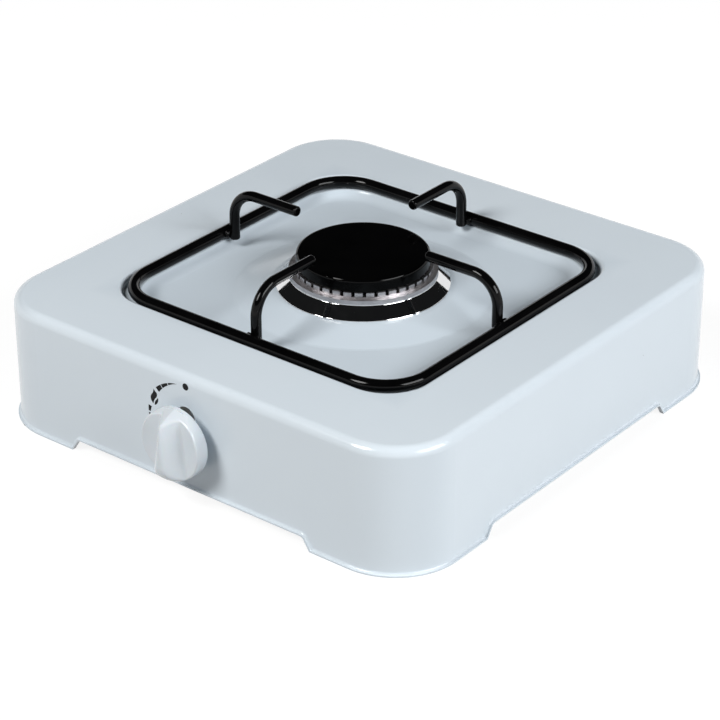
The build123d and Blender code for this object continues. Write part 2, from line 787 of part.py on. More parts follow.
# Tap screws and nuts, above and below the spindle
tap_screw_places = ((0, tap_screw_offset), (0, -tap_screw_offset))
with BuildPart() as tap_screws:
    with BuildSketch(along_minus_y(bonnet_y)):
        with Locations(*tap_screw_places):
            Circle(tap_screw_head_radius)
    extrude(amount=tap_screw_head_height)
    with BuildSketch(along_y(bonnet_y)):
        with Locations(*tap_screw_places):
            Circle(tap_screw_radius)
    extrude(amount=nut_y + tap_nut_height + tap_screw_tail - bonnet_y)
    with BuildSketch(along_y(bonnet_y - tap_screw_head_height)):
        with Locations(*tap_screw_places):
            Rectangle(2 * tap_screw_head_radius, screw_slot_width)
    extrude(amount=screw_slot_depth, mode=Mode.SUBTRACT)
save(tap_screws.part, "tap_screws")

with BuildPart() as tap_nuts:
    with BuildSketch(along_y(nut_y)):
        with Locations(*tap_screw_places):
            RegularPolygon(tap_nut_flats / 2, 6, major_radius=False, rotation=30)
            Circle(tap_screw_radius + thread_clearance, mode=Mode.SUBTRACT)
    extrude(amount=tap_nut_height)
save(tap_nuts.part, "tap_nuts")

# Injector: a hexagon screwed over the tap's nipple, with a jet that faces the mixing tube
with BuildPart() as injector:
    injector_nose_y = injector_y + injector_hex_length
    with BuildSketch(along_y(injector_y)):
        RegularPolygon(injector_flats / 2, 6, major_radius=False)
    extrude(amount=injector_hex_length)
    with BuildSketch(along_y(injector_nose_y)):
        Circle(injector_nose_radius)
    with BuildSketch(along_y(injector_tip_y)):
        Circle(injector_tip_radius)
    loft()
    with BuildSketch(along_y(injector_y)):
        Circle(tap_nipple_radius + thread_clearance)
    extrude(amount=injector_lap, mode=Mode.SUBTRACT)
    with BuildSketch(along_y(nipple_end_y)):
        Circle(tap_gas_bore_radius)
    extrude(amount=injector_tip_y - injector_jet_length - nipple_end_y, mode=Mode.SUBTRACT)
    with BuildSketch(along_y(nipple_end_y)):
        Circle(injector_jet_radius)
    extrude(amount=injector_tip_y - nipple_end_y, mode=Mode.SUBTRACT)
save(injector.part, "injector")

# Feed pipe, from the inlet connector to the tap
with BuildPart() as feed_pipe:
    with BuildLine(Plane.XY.offset(tap_z)) as pipe_path:
        FilletPolyline(
            (tap_inlet_reach, tap_inlet_y),
            (inlet_x, tap_inlet_y),
            (inlet_x, inlet_start_y),
            radius=pipe_bend_radius,
        )
    with BuildSketch(Plane(origin=pipe_path.line @ 0, z_dir=pipe_path.line % 0)):
        Circle(pipe_radius)
        Circle(pipe_bore_radius, mode=Mode.SUBTRACT)
    sweep()
save(feed_pipe.part, "feed_pipe")


def make_union_nut(start, threaded_radius):
    """Hexagon nut along a plane's normal: wide bore over the threaded end, narrow over the pipe."""
    with BuildPart() as nut:
        with BuildSketch(start):
            RegularPolygon(union_flats / 2, 6, major_radius=False)
            Circle(pipe_radius + pipe_clearance, mode=Mode.SUBTRACT)
        extrude(amount=union_length)
        with BuildSketch(start):
            Circle(threaded_radius + thread_clearance)
        extrude(amount=union_lap, mode=Mode.SUBTRACT)
    return nut.part


# Union nuts at the pipe's two ends
save(make_union_nut(along_x(tap_inlet_reach - union_lap, tap_inlet_y), tap_inlet_radius), "tap_pipe_nut")
save(
    make_union_nut(along_minus_y(inlet_start_y + union_lap, inlet_x), inlet_thread_radius),
    "inlet_pipe_nut",
)

# Inlet connector: union end, hexagon inside the rear wall, thread through it and a hose barb
with BuildPart() as inlet_connector:
    flange_y = inner_back_y - inlet_flange_length
    barb_y = back_y + inlet_thread_length
    with BuildSketch(along_y(inlet_start_y, inlet_x)):
        Circle(inlet_thread_radius)
    extrude(amount=barb_y - inlet_start_y)
    with BuildSketch(along_y(flange_y, inlet_x)):
        RegularPolygon(inlet_flange_flats / 2, 6, major_radius=False)
    extrude(amount=inlet_flange_length)
    for barb in range(barb_count):
        barb_start_y = barb_y + barb * barb_pitch
        with BuildSketch(along_y(barb_start_y, inlet_x)):
            Circle(barb_crest_radius)
        with BuildSketch(along_y(barb_start_y + barb_pitch, inlet_x)):
            Circle(barb_root_radius)
        loft()
    with BuildSketch(along_y(inlet_start_y, inlet_x)):
        Circle(pipe_bore_radius)
    extrude(amount=barb_y + barb_count * barb_pitch - inlet_start_y, mode=Mode.SUBTRACT)
save(inlet_connector.part, "inlet_connector")

with BuildPart() as inlet_washer:
    with BuildSketch(along_y(back_y, inlet_x)):
        Circle(washer_radius)
        Circle(inlet_thread_radius + inlet_hole_clearance, mode=Mode.SUBTRACT)
    extrude(amount=washer_thickness)
save(inlet_washer.part, "inlet_washer")

with BuildPart() as inlet_lock_nut:
    with BuildSketch(along_y(back_y + washer_thickness, inlet_x)):
        RegularPolygon(inlet_flange_flats / 2, 6, major_radius=False)
        Circle(inlet_thread_radius + thread_clearance, mode=Mode.SUBTRACT)
    extrude(amount=lock_nut_length)
save(inlet_lock_nut.part, "inlet_lock_nut")

# Pipe clip: a band round the pipe with a tab screwed under the bridge
clip_bore_radius = pipe_radius + pipe_clearance
clip_outer_radius = clip_bore_radius + clip_sheet
clip_screw_place = (inlet_x + pipe_radius + clip_tab_length - clip_screw_inset, clip_y)
with BuildPart() as pipe_clip:
    with BuildSketch(along_minus_y(clip_y, inlet_x)):
        Circle(clip_outer_radius)
        with Locations((clip_bore_radius, 0)):
            Rectangle(clip_sheet, bridge_under_z - tap_z, align=(Align.MIN, Align.MIN))
        with Locations((clip_bore_radius, bridge_under_z - tap_z)):
            Rectangle(clip_tab_length, clip_sheet, align=(Align.MIN, Align.MAX))
        Circle(clip_bore_radius, mode=Mode.SUBTRACT)
    extrude(amount=clip_width / 2, both=True)
    with BuildSketch(Plane.XY.offset(bridge_under_z)):
        with Locations(clip_screw_place):
            Circle(clip_screw_radius + screw_clearance)
    extrude(amount=-clip_sheet, mode=Mode.SUBTRACT)
save(pipe_clip.part, "pipe_clip")

with BuildPart() as pipe_clip_screw:
    with BuildSketch(Plane.XY.offset(bridge_under_z - clip_sheet)):
        with Locations(clip_screw_place):
            Circle(clip_screw_head_radius)
    extrude(amount=-clip_screw_head_height)
    with BuildSketch(Plane.XY.offset(bridge_under_z - clip_sheet)):
        with Locations(clip_screw_place):
            Circle(clip_screw_radius)
    extrude(amount=clip_sheet + bridge_sheet + clip_screw_tail)
    with BuildSketch(Plane.XY.offset(bridge_under_z - clip_sheet - clip_screw_head_height)):
        with Locations(clip_screw_place):
            Rectangle(2 * clip_screw_head_radius, screw_slot_width)
    extrude(amount=screw_slot_depth, mode=Mode.SUBTRACT)
save(pipe_clip_screw.part, "pipe_clip_screw")

# Knob: domed body with a nose that points at the dial, a scoop on each side and a hub behind
bore_radius = spindle_radius + knob_bore_clearance
bore_flat_height = spindle_flat_height + knob_clip_thickness + knob_bore_clearance
grip_height = knob_reach - knob_standoff - knob_skirt
with BuildPart() as knob:
    with BuildSketch(along_minus_y(skirt_back_y)):
        Circle(knob_radius)
    extrude(amount=knob_reach - knob_standoff)
    fillet(edges().group_by(Axis.Y)[0], min(knob_dome_radius, fillet_share * grip_height))
    # Nose: two steep planes that meet in a crease over the axis
    gable_x = 2 * knob_radius
    gable_z = knob_radius - gable_x * tan(radians(nose_side_slope))
    with BuildSketch(along_minus_y(skirt_front_y)):
        with BuildLine():
            Polyline(
                (-gable_x, -gable_x),
                (-gable_x, gable_z),
                (0, knob_radius),
                (gable_x, gable_z),
                (gable_x, -gable_x),
                close=True,
            )
        make_face()
    extrude(amount=grip_height, taper=nose_slope, mode=Mode.INTERSECT)
    with BuildSketch(along_minus_y(skirt_back_y)):
        Circle(knob_radius)
    extrude(amount=knob_skirt)
    fillet(edges().group_by(Axis.Y)[-1], min(knob_skirt_rounding, fillet_share * knob_skirt))
    # Scoops: drafted pockets that run out through the sides and leave the grip between them
    scoop_top = Vector(scoop_top_x, scoop_top_z)
    scoop_low = Vector(scoop_low_x, scoop_low_z)
    upper_way = Vector(cos(radians(scoop_upper_angle)), sin(radians(scoop_upper_angle)))
    lower_way = Vector(cos(radians(scoop_lower_angle)), sin(radians(scoop_lower_angle)))
    scoop_points = (
        scoop_top + upper_way * 2 * knob_radius,
        scoop_top,
        scoop_low,
        scoop_low + lower_way * 2 * knob_radius,
    )
    for side in (1, -1):
        outline = [(side * point.X, point.Y) for point in scoop_points]
        with BuildSketch(along_minus_y(skirt_front_y - scoop_floor)):
            with BuildLine():
                FilletPolyline(*outline, radius=scoop_corner_radius)
                Line(outline[-1], outline[0])
            make_face()
        extrude(amount=grip_height - scoop_floor, taper=-scoop_draft, mode=Mode.SUBTRACT)
    with BuildSketch(along_y(skirt_back_y)):
        Circle(hub_radius)
    extrude(amount=hub_length)
    with BuildSketch(along_minus_y(hub_back_y)):
        Circle(bore_radius)
        with Locations((0, bore_flat_height)):
            Rectangle(2 * bore_radius, bore_radius, align=(Align.CENTER, Align.MIN), mode=Mode.SUBTRACT)
    extrude(amount=hub_back_y - spindle_front_y + knob_bore_end_gap, mode=Mode.SUBTRACT)
save(knob.part, "knob")

# Knob clip: a spring strip on the spindle's flat
with BuildPart() as knob_clip:
    with BuildSketch(along_minus_y(hub_back_y - knob_clip_inset)):
        with Locations((0, spindle_flat_height)):
            Rectangle(knob_clip_width, knob_clip_thickness, align=(Align.CENTER, Align.MIN))
    extrude(amount=knob_clip_length)
save(knob_clip.part, "knob_clip")
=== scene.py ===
"""Looks of a tabletop gas stove with one burner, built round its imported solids.

Frame: metres, with the origin on the burner's axis at table level. +X runs to the right along the
front, +Y to the back and +Z up. The front panel with the knob faces -Y.
"""

import json
from math import cos, hypot, pi, radians, sin, sqrt, tan

import bmesh
import bpy
from mathutils import Matrix, Vector, noise
from mathutils.geometry import interpolate_bezier


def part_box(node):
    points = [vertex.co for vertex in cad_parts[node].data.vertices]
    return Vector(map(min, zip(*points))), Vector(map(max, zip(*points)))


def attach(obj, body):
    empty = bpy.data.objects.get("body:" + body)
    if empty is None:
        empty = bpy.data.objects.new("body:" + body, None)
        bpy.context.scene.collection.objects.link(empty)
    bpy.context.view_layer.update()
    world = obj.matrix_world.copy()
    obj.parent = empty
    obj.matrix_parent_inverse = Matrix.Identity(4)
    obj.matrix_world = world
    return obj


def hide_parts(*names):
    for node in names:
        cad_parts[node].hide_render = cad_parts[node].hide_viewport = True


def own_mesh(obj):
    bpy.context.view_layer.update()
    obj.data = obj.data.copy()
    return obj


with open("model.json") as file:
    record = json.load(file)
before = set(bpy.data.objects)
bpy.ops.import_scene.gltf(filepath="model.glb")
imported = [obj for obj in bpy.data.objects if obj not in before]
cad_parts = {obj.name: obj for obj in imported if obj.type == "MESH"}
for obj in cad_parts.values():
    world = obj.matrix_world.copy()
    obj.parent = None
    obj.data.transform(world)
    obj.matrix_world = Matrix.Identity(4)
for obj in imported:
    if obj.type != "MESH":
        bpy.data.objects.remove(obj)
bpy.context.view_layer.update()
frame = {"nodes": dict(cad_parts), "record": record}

MM = 0.001

# Enamel: painted shade in the well, a darker tone which fades out between two distances from the middle
# in metres
WELL_PAINTED_SHADE = 0.5
WELL_PAINTED_SHADE_START = 0.086
WELL_PAINTED_SHADE_END = 0.104
DIRT_STRENGTH = 0.55
DUST_STRENGTH = 0.25

# Chips in the enamel: how far up the lower edge in metres, and above which level of the clouds
CHIP_HEIGHT = 0.0010
CHIP_LEVEL = 0.66

# Camera: where the photograph was taken from
CAMERA_AZIMUTH = 38.490
CAMERA_ELEVATION = 28.403
CAMERA_ROLL = -0.081
CAMERA_DISTANCE = 1.39523
CAMERA_ASIDE = -0.001765
CAMERA_RISE = -0.01727
CAMERA_AIM_HEIGHT = 0.0388
CAMERA_LENS = 130.02
SENSOR_WIDTH = 36.0

# Dial marks on the front panel, in millimetres and degrees about the dial's centre
DIAL_X = -0.84
DIAL_Z = 40.62
DIAL_RADIUS = 23.8
DOT_ANGLE = 87.0
DOT_RADIUS = 1.9
DOT_STEPS = 40
WEDGE_START = 101.0
WEDGE_END = 138.6
WEDGE_WIDTH = 2.9
WEDGE_TIP_WIDTH = 0.06
WEDGE_BLOCKS = ((101.0, 116.0), (117.2, 128.3), (129.4, 138.6))
TAIL_START = 166.0
TAIL_END = 190.0
TAIL_WIDTH = 2.3
TAIL_BLOCKS = ((168.0, 176.0), (178.4, 183.2))
INK_THICKNESS = 0.05

# Keyhole in the front panel behind the knob, and the bead round its edge, in millimetres
HOLE_Z = 36.2
HOLE_RADIUS = 8.6
SLOT_RADIUS = 6.2
SLOT_OFFSET = 10.7
BEAD_RADIUS = 0.45
BEAD_DEPTH = 0.4
BEAD_STEPS_AROUND = 240
BEAD_STEPS_ACROSS = 12

nodes = frame["nodes"]


# Node helpers

def new_material(name, **sockets):
    """A material with a Principled shader whose named sockets hold fixed values."""
    material = bpy.data.materials.new(name)
    material.use_nodes = True
    shader = material.node_tree.nodes["Principled BSDF"]
    for socket, value in sockets.items():
        shader.inputs[socket.replace("_", " ")].default_value = value
    return material, material.node_tree, shader


def feed(tree, socket, value):
    """Link an output to a socket, or set the socket to a fixed value."""
    if isinstance(value, bpy.types.NodeSocket):
        tree.links.new(value, socket)
    else:
        socket.default_value = value


def place(tree):
    """The surface point in the stove's own frame."""
    return tree.nodes.new("ShaderNodeTexCoord").outputs["Object"]


def cloud(tree, scale, detail=2.0, stretch=None):
    """Noise with so many cells to the metre, drawn out along the axes where asked."""
    texture = tree.nodes.new("ShaderNodeTexNoise")
    texture.inputs["Scale"].default_value = scale
    texture.inputs["Detail"].default_value = detail
    point = place(tree)
    if stretch:
        mapping = tree.nodes.new("ShaderNodeMapping")
        mapping.inputs["Scale"].default_value = stretch
        tree.links.new(point, mapping.inputs["Vector"])
        point = mapping.outputs["Vector"]
    tree.links.new(point, texture.inputs["Vector"])
    return texture.outputs["Fac"]


def sums(tree, kind, first, second=0.0):
    """One step of arithmetic."""
    step = tree.nodes.new("ShaderNodeMath")
    step.operation = kind
    feed(tree, step.inputs[0], first)
    feed(tree, step.inputs[1], second)
    return step.outputs["Value"]


def spread(tree, value, low, high, start=0.3, end=0.7):
    """Stretch a value's middle range to new limits."""
    step = tree.nodes.new("ShaderNodeMapRange")
    tree.links.new(value, step.inputs["Value"])
    step.inputs["From Min"].default_value = start
    step.inputs["From Max"].default_value = end
    step.inputs["To Min"].default_value = low
    step.inputs["To Max"].default_value = high
    return step.outputs["Result"]


def tint(tree, share, first, second):
    """Mix two colours, each a fixed one or an output."""
    mix = tree.nodes.new("ShaderNodeMix")
    mix.data_type = "RGBA"
    feed(tree, mix.inputs["Factor"], share)
    sockets = [s for s in mix.inputs if s.type == "RGBA"]
    for socket, colour in zip(sockets, (first, second)):
        if not isinstance(colour, bpy.types.NodeSocket):
            colour = (*colour, 1.0)
        feed(tree, socket, colour)
    return [s for s in mix.outputs if s.type == "RGBA"][0]


def bump(tree, height, depth, strength=1.0, under=None):
    """A normal from a height that spans a depth in metres, over another normal if given."""
    step = tree.nodes.new("ShaderNodeBump")
    step.inputs["Strength"].default_value = strength
    step.inputs["Distance"].default_value = depth
    tree.links.new(height, step.inputs["Height"])
    if under:
        tree.links.new(under, step.inputs["Normal"])
    return step.outputs["Normal"]


def axes(tree):
    """The surface point's X, Y and Z."""
    split = tree.nodes.new("ShaderNodeSeparateXYZ")
    tree.links.new(place(tree), split.inputs["Vector"])
    return split.outputs["X"], split.outputs["Y"], split.outputs["Z"]


def ripples(tree, along, pitch):
    """Even waves along a length."""
    return sums(tree, "SINE", sums(tree, "MULTIPLY", along, 2 * pi / pitch))


def lathe_lines(tree, pitch):
    """Fine rings left by turning about the burner's axis, on flat and on upright faces."""
    x, y, z = axes(tree)
    square = sums(tree, "ADD", sums(tree, "MULTIPLY", x, x), sums(tree, "MULTIPLY", y, y))
    return ripples(tree, sums(tree, "ADD", sums(tree, "SQRT", square), z), pitch)


def specks(tree, scale, size, share):
    """Mask of sparse small dots: so many cells to the metre, a dot in a share of them."""
    cells = tree.nodes.new("ShaderNodeTexVoronoi")
    cells.inputs["Scale"].default_value = scale
    tree.links.new(place(tree), cells.inputs["Vector"])
    near = sums(tree, "LESS_THAN", cells.outputs["Distance"], size * scale)
    split = tree.nodes.new("ShaderNodeSeparateColor")
    tree.links.new(cells.outputs["Color"], split.inputs["Color"])
    picked = sums(tree, "LESS_THAN", split.outputs["Red"], share)
    return sums(tree, "MULTIPLY", near, picked)


# Materials

def mottle(tree, scale, detail, first, second):
    """Two colours that drift into each other in clouds."""
    return tint(tree, spread(tree, cloud(tree, scale, detail), 0.0, 1.0), first, second)


def coat(tree, shader, colour, roughness, normal):
    """Link a shader's colour, roughness and normal."""
    feed(tree, shader.inputs["Base Color"], colour)
    feed(tree, shader.inputs["Roughness"], roughness)
    feed(tree, shader.inputs["Normal"], normal)


def make_white_enamel():
    """Gloss enamel on sheet, with painted shade darkening it in the well.

    It has waves, orange peel, specks of dirt and a chipped lower edge.
    """
    material, tree, shader = new_material("white_enamel", IOR=1.52)
    colour = mottle(tree, 9.0, 3.0, (0.700, 0.772, 0.832), (0.728, 0.800, 0.856))
    east, north, height = axes(tree)
    # Painted shade: inside the well the enamel is mixed towards a darker blue-grey, fading out near the
    # well's edge
    off_centre = sums(tree, "MAXIMUM", sums(tree, "ABSOLUTE", east), sums(tree, "ABSOLUTE", north))
    well_painted_shade = spread(tree, off_centre, WELL_PAINTED_SHADE, 0.0, WELL_PAINTED_SHADE_START, WELL_PAINTED_SHADE_END)
    colour = tint(tree, well_painted_shade, colour, (0.54, 0.62, 0.69))
    dirt = sums(tree, "MULTIPLY", specks(tree, scale=38.0, size=0.00028, share=0.35), DIRT_STRENGTH)
    colour = tint(tree, dirt, colour, (0.20, 0.19, 0.18))
    low = sums(tree, "LESS_THAN", height, CHIP_HEIGHT)
    chipped = sums(tree, "GREATER_THAN", cloud(tree, 130.0, 4.0), CHIP_LEVEL)
    waves = bump(tree, cloud(tree, 17.0, 1.0), depth=0.0005, strength=0.5)
    coat(
        tree, shader,
        colour=tint(tree, sums(tree, "MULTIPLY", low, chipped), colour, (0.10, 0.10, 0.11)),
        roughness=spread(tree, cloud(tree, 24.0, 3.0), 0.15, 0.23),
        normal=bump(tree, cloud(tree, 330.0, 1.5), depth=0.00004, strength=0.5, under=waves),
    )
    return material


def make_black_enamel():
    """Gloss black enamel on wire, with a slight orange peel and uneven gloss."""
    material, tree, shader = new_material("black_enamel", IOR=1.5, Specular_IOR_Level=0.16)
    coat(
        tree, shader,
        colour=mottle(tree, 60.0, 3.0, (0.0010, 0.0010, 0.0011), (0.0026, 0.0026, 0.0028)),
        roughness=spread(tree, cloud(tree, 90.0, 3.0), 0.045, 0.10),
        normal=bump(tree, cloud(tree, 140.0, 1.5), depth=0.00005, strength=0.5),
    )
    return material


def make_cap_enamel():
    """Deep gloss black enamel of the cap, with faint dust."""
    material, tree, shader = new_material("cap_enamel", IOR=1.45, Specular_IOR_Level=0.14)
    dust = sums(tree, "MULTIPLY", specks(tree, scale=90.0, size=0.00016, share=0.25), DUST_STRENGTH)
    black = mottle(tree, 40.0, 2.0, (0.0006, 0.0006, 0.0007), (0.0014, 0.0014, 0.0015))
    coat(
        tree, shader,
        colour=tint(tree, dust, black, (0.12, 0.12, 0.12)),
        roughness=spread(tree, cloud(tree, 70.0, 2.0), 0.035, 0.07),
        normal=bump(tree, cloud(tree, 300.0, 1.0), depth=0.00005, strength=0.5),
    )
    return material


def make_chrome():
    """Bright plating over faint spinning lines."""
    material, tree, shader = new_material("chrome_trim", Metallic=1.0)
    coat(
        tree, shader,
        colour=mottle(tree, 50.0, 2.0, (0.78, 0.78, 0.79), (0.84, 0.84, 0.845)),
        roughness=spread(tree, cloud(tree, 160.0, 3.0), 0.035, 0.085),
        normal=bump(tree, lathe_lines(tree, pitch=0.00045), depth=0.000002, strength=0.3),
    )
    return material


def make_aluminium():
    """Satin cast aluminium with turning rings and a fine grain."""
    material, tree, shader = new_material("cast_aluminium", Metallic=1.0)
    grain = bump(tree, cloud(tree, 2200.0, 2.0), depth=0.00003, strength=0.6)
    coat(
        tree, shader,
        colour=mottle(tree, 220.0, 4.0, (0.45, 0.435, 0.445), (0.57, 0.55, 0.56)),
        roughness=spread(tree, cloud(tree, 500.0, 3.0), 0.28, 0.42),
        normal=bump(tree, lathe_lines(tree, pitch=0.0006), depth=0.00001, strength=0.5, under=grain),
    )
    return material


def make_brass():
    """Turned brass with a light tarnish."""
    material, tree, shader = new_material("brass_fittings", Metallic=1.0)
    turned = ripples(tree, axes(tree)[1], pitch=0.00035)
    coat(
        tree, shader,
        colour=mottle(tree, 120.0, 4.0, (0.60, 0.42, 0.17), (0.76, 0.57, 0.28)),
        roughness=spread(tree, cloud(tree, 300.0, 3.0), 0.22, 0.38),
        normal=bump(tree, turned, depth=0.000008, strength=0.5),
    )
    return material


def make_zinc():
    """Zinc plate with a faint straw and blue passivation."""
    material, tree, shader = new_material("zinc_steel", Metallic=1.0)
    coat(
        tree, shader,
        colour=mottle(tree, 80.0, 3.0, (0.50, 0.52, 0.56), (0.62, 0.60, 0.54)),
        roughness=spread(tree, cloud(tree, 400.0, 3.0), 0.26, 0.42),
        normal=bump(tree, cloud(tree, 900.0, 2.0), depth=0.00002, strength=0.5),
    )
    return material


def make_pipe_steel():
    """Drawn steel tube with streaks along its length."""
    material, tree, shader = new_material("steel_pipe", Metallic=1.0)
    streaks = cloud(tree, 900.0, 2.0, stretch=(1.0, 0.02, 1.0))
    coat(
        tree, shader,
        colour=tint(tree, spread(tree, streaks, 0.0, 1.0), (0.40, 0.40, 0.42), (0.52, 0.52, 0.53)),
        roughness=spread(tree, cloud(tree, 200.0, 3.0), 0.26, 0.40),
        normal=bump(tree, streaks, depth=0.00001, strength=0.5),
    )
    return material


def make_white_plastic():
    """Gloss moulded plastic with a faint flow and fine scuffs."""
    material, tree, shader = new_material(
        "white_plastic", IOR=1.49, Subsurface_Weight=0.08, Subsurface_Scale=0.002
    )
    coat(
        tree, shader,
        colour=mottle(tree, 90.0, 3.0, (0.69, 0.745, 0.79), (0.72, 0.77, 0.81)),
        roughness=spread(tree, cloud(tree, 350.0, 4.0), 0.10, 0.19),
        normal=bump(tree, cloud(tree, 700.0, 2.0), depth=0.00002, strength=0.4),
    )
    return material


def make_ink():
    """Black screen print, slightly uneven in cover and gloss."""
    material, tree, shader = new_material("dial_ink", IOR=1.5, Specular_IOR_Level=0.12)
    coat(
        tree, shader,
        colour=mottle(tree, 900.0, 3.0, (0.002, 0.002, 0.003), (0.008, 0.008, 0.009)),
        roughness=spread(tree, cloud(tree, 600.0, 2.0), 0.28, 0.45),
        normal=bump(tree, cloud(tree, 2500.0, 2.0), depth=0.00001, strength=0.5),
    )
    return material


materials = {
    "white_enamel": make_white_enamel(),
    "black_enamel": make_black_enamel(),
    "cap_enamel": make_cap_enamel(),
    "chrome_trim": make_chrome(),
    "cast_aluminium": make_aluminium(),
    "brass_fittings": make_brass(),
    "zinc_steel": make_zinc(),
    "steel_pipe": make_pipe_steel(),
    "white_plastic": make_white_plastic(),
}
ink = make_ink()

for row in frame["record"]["subparts"]:
    mesh = nodes[row["node"]].data
    mesh.materials.clear()
    mesh.materials.append(materials[row["material_slot"]])


# Piece helpers

def add_piece(name, shape, material, body, smooth=True):
    """Turn a bmesh into a shown piece that moves with a body."""
    mesh = bpy.data.meshes.new(name)
    shape.to_mesh(mesh)
    shape.free()
    if smooth:
        mesh.shade_smooth()
    mesh.materials.append(material)
    piece = bpy.data.objects.new(name, mesh)
    bpy.context.scene.collection.objects.link(piece)
    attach(piece, body)
    return piece


# Knob: a softer form of the solid, in millimetres from the back of its skirt, and degrees

KNOB_HUB_LENGTH = 4.8
KNOB_HUB_RADIUS = 8.0
KNOB_BORE_RADIUS = 4.05
KNOB_BORE_END = 2.7
KNOB_SKIRT = 2.6
KNOB_BACK_ROUNDING = 0.8
KNOB_BACK_STEPS = 5
KNOB_SHARP_ANGLE = 50
DOME_RADIUS = 10.0
NOSE_SLOPE = 18.9
NOSE_SIDE_SLOPE = 12.5
NOSE_BLEND = 6.0
FLANK_START = 1.8
FLANK_LEAN = 0.16
FLANK_DRAFT = 34.0
CHANNEL_FLOOR = 5.2
CHANNEL_RISE = 0.16
CHANNEL_BLEND = 2.4
RIM_BLEND = 2.6
KNOB_RINGS = 72
KNOB_STEPS = 240


def smooth_min(a, b, blend):
    """The lower of two heights, with their crossing rounded over a blend height."""
    share = max(blend - abs(a - b), 0.0) / blend
    return min(a, b) - share * share * blend / 4


def knob_height(u, v, radius, top):
    """Height of the knob's front over a point right of and above its axis."""
    reach = min(hypot(u, v), radius)
    fall = max(reach - radius + DOME_RADIUS, 0.0)
    dome = top - DOME_RADIUS + sqrt(DOME_RADIUS ** 2 - fall ** 2)
    side, slope = radians(NOSE_SIDE_SLOPE), radians(NOSE_SLOPE)
    inset = (radius - v) * cos(side) - abs(u) * sin(side)
    height = smooth_min(dome, KNOB_SKIRT + inset / tan(slope), NOSE_BLEND)
    for way in (1, -1):
        flank = top - (way * u - FLANK_START + FLANK_LEAN * v) / tan(radians(FLANK_DRAFT))
        floor = CHANNEL_FLOOR + CHANNEL_RISE * way * u
        channel = -smooth_min(-flank, -floor, CHANNEL_BLEND)
        height = smooth_min(height, channel, RIM_BLEND)
    return max(height, KNOB_SKIRT)


def add_knob():
    """Front surface on rings about the axis, then the skirt, its back, the hub and the bore."""
    low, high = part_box("knob")
    radius = (high.x - low.x) / 2 / MM
    axis_z = (low.z + high.z) / 2
    back_y = high.y - KNOB_HUB_LENGTH * MM
    top = (back_y - low.y) / MM
    turn = [2 * pi * i / KNOB_STEPS for i in range(KNOB_STEPS)]
    rows = []
    for i in range(1, KNOB_RINGS + 1):
        reach = radius * sin(pi / 2 * i / KNOB_RINGS)
        spots = [(reach * cos(a), reach * sin(a)) for a in turn]
        rows.append([(u, v, knob_height(u, v, radius, top)) for u, v in spots])
    rounding = [radians(90 * i / KNOB_BACK_STEPS) for i in range(KNOB_BACK_STEPS + 1)]
    profile = [
        (radius - KNOB_BACK_ROUNDING * (1 - cos(a)), KNOB_BACK_ROUNDING * (1 - sin(a))) for a in rounding
    ]
    profile += [(KNOB_HUB_RADIUS, 0.0), (KNOB_HUB_RADIUS, -KNOB_HUB_LENGTH)]
    profile += [(KNOB_BORE_RADIUS, -KNOB_HUB_LENGTH), (KNOB_BORE_RADIUS, KNOB_BORE_END)]
    rows += [[(reach * cos(a), reach * sin(a), w) for a in turn] for reach, w in profile]
    shape = bmesh.new()

    def vertex(u, v, w):
        return shape.verts.new((u * MM, back_y - w * MM, axis_z + v * MM))

    rings = [[vertex(*spot) for spot in row] for row in rows]
    for near, far in zip(rings, rings[1:]):
        for i in range(KNOB_STEPS):
            j = (i + 1) % KNOB_STEPS
            shape.faces.new((near[i], near[j], far[j], far[i]))
    for ring, w in ((rings[0], knob_height(0.0, 0.0, radius, top)), (rings[-1], KNOB_BORE_END)):
        middle = vertex(0.0, 0.0, w)
        for i in range(KNOB_STEPS):
            shape.faces.new((ring[i], ring[(i + 1) % KNOB_STEPS], middle))
    bmesh.ops.recalc_face_normals(shape, faces=shape.faces)
    piece = add_piece("knob_moulding", shape, materials["white_plastic"], "knob")
    piece.data.set_sharp_from_angle(angle=radians(KNOB_SHARP_ANGLE))
    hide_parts("knob")


# Tap spring: a copy of the solid's coil, moved with the plug. In use it shortens by a little more than
# the knob's push of 3 mm.


def add_spring():
    """A copy of the solid's coil that moves with the plug."""
    shape = bmesh.new()
    shape.from_mesh(nodes["tap_spring"].data)
    shape.transform(nodes["tap_spring"].matrix_world)
    piece = add_piece("tap_spring_coil", shape, materials["zinc_steel"], "plug")
    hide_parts("tap_spring")
    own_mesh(piece)


# Dial marks: thin printed patches on the front panel, which stands back from the turned-out lower edge

LOWER_EDGE_REACH = 1.6 * MM
PANEL_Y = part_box("body_shell")[0].y + LOWER_EDGE_REACH


def panel_patch(name, outline):
    """A printed patch from an outline of (x, z) points in millimetres."""
    shape = bmesh.new()
    back = [shape.verts.new((x * MM, PANEL_Y, z * MM)) for x, z in outline]
    front = [shape.verts.new((x * MM, PANEL_Y - INK_THICKNESS * MM, z * MM)) for x, z in outline]
    shape.faces.new(front)
    shape.faces.new(list(reversed(back)))
    for i in range(len(outline)):
        j = (i + 1) % len(outline)
        shape.faces.new((front[i], back[i], back[j], front[j]))
    bmesh.ops.recalc_face_normals(shape, faces=shape.faces)
    add_piece(name, shape, ink, "stove", smooth=False)


def dial_point(angle, radius):
    """A point on the panel at an angle and a distance from the dial's centre."""
    return DIAL_X + radius * cos(radians(angle)), DIAL_Z + radius * sin(radians(angle))


def band_block(start, end, width_at, steps=10):
    """Outline of a stretch of the dial's band whose width changes with the angle."""
    angles = [start + (end - start) * i / steps for i in range(steps + 1)]
    outer = [dial_point(a, DIAL_RADIUS + width_at(a) / 2) for a in angles]
    inner = [dial_point(a, DIAL_RADIUS - width_at(a) / 2) for a in reversed(angles)]
    return outer + inner


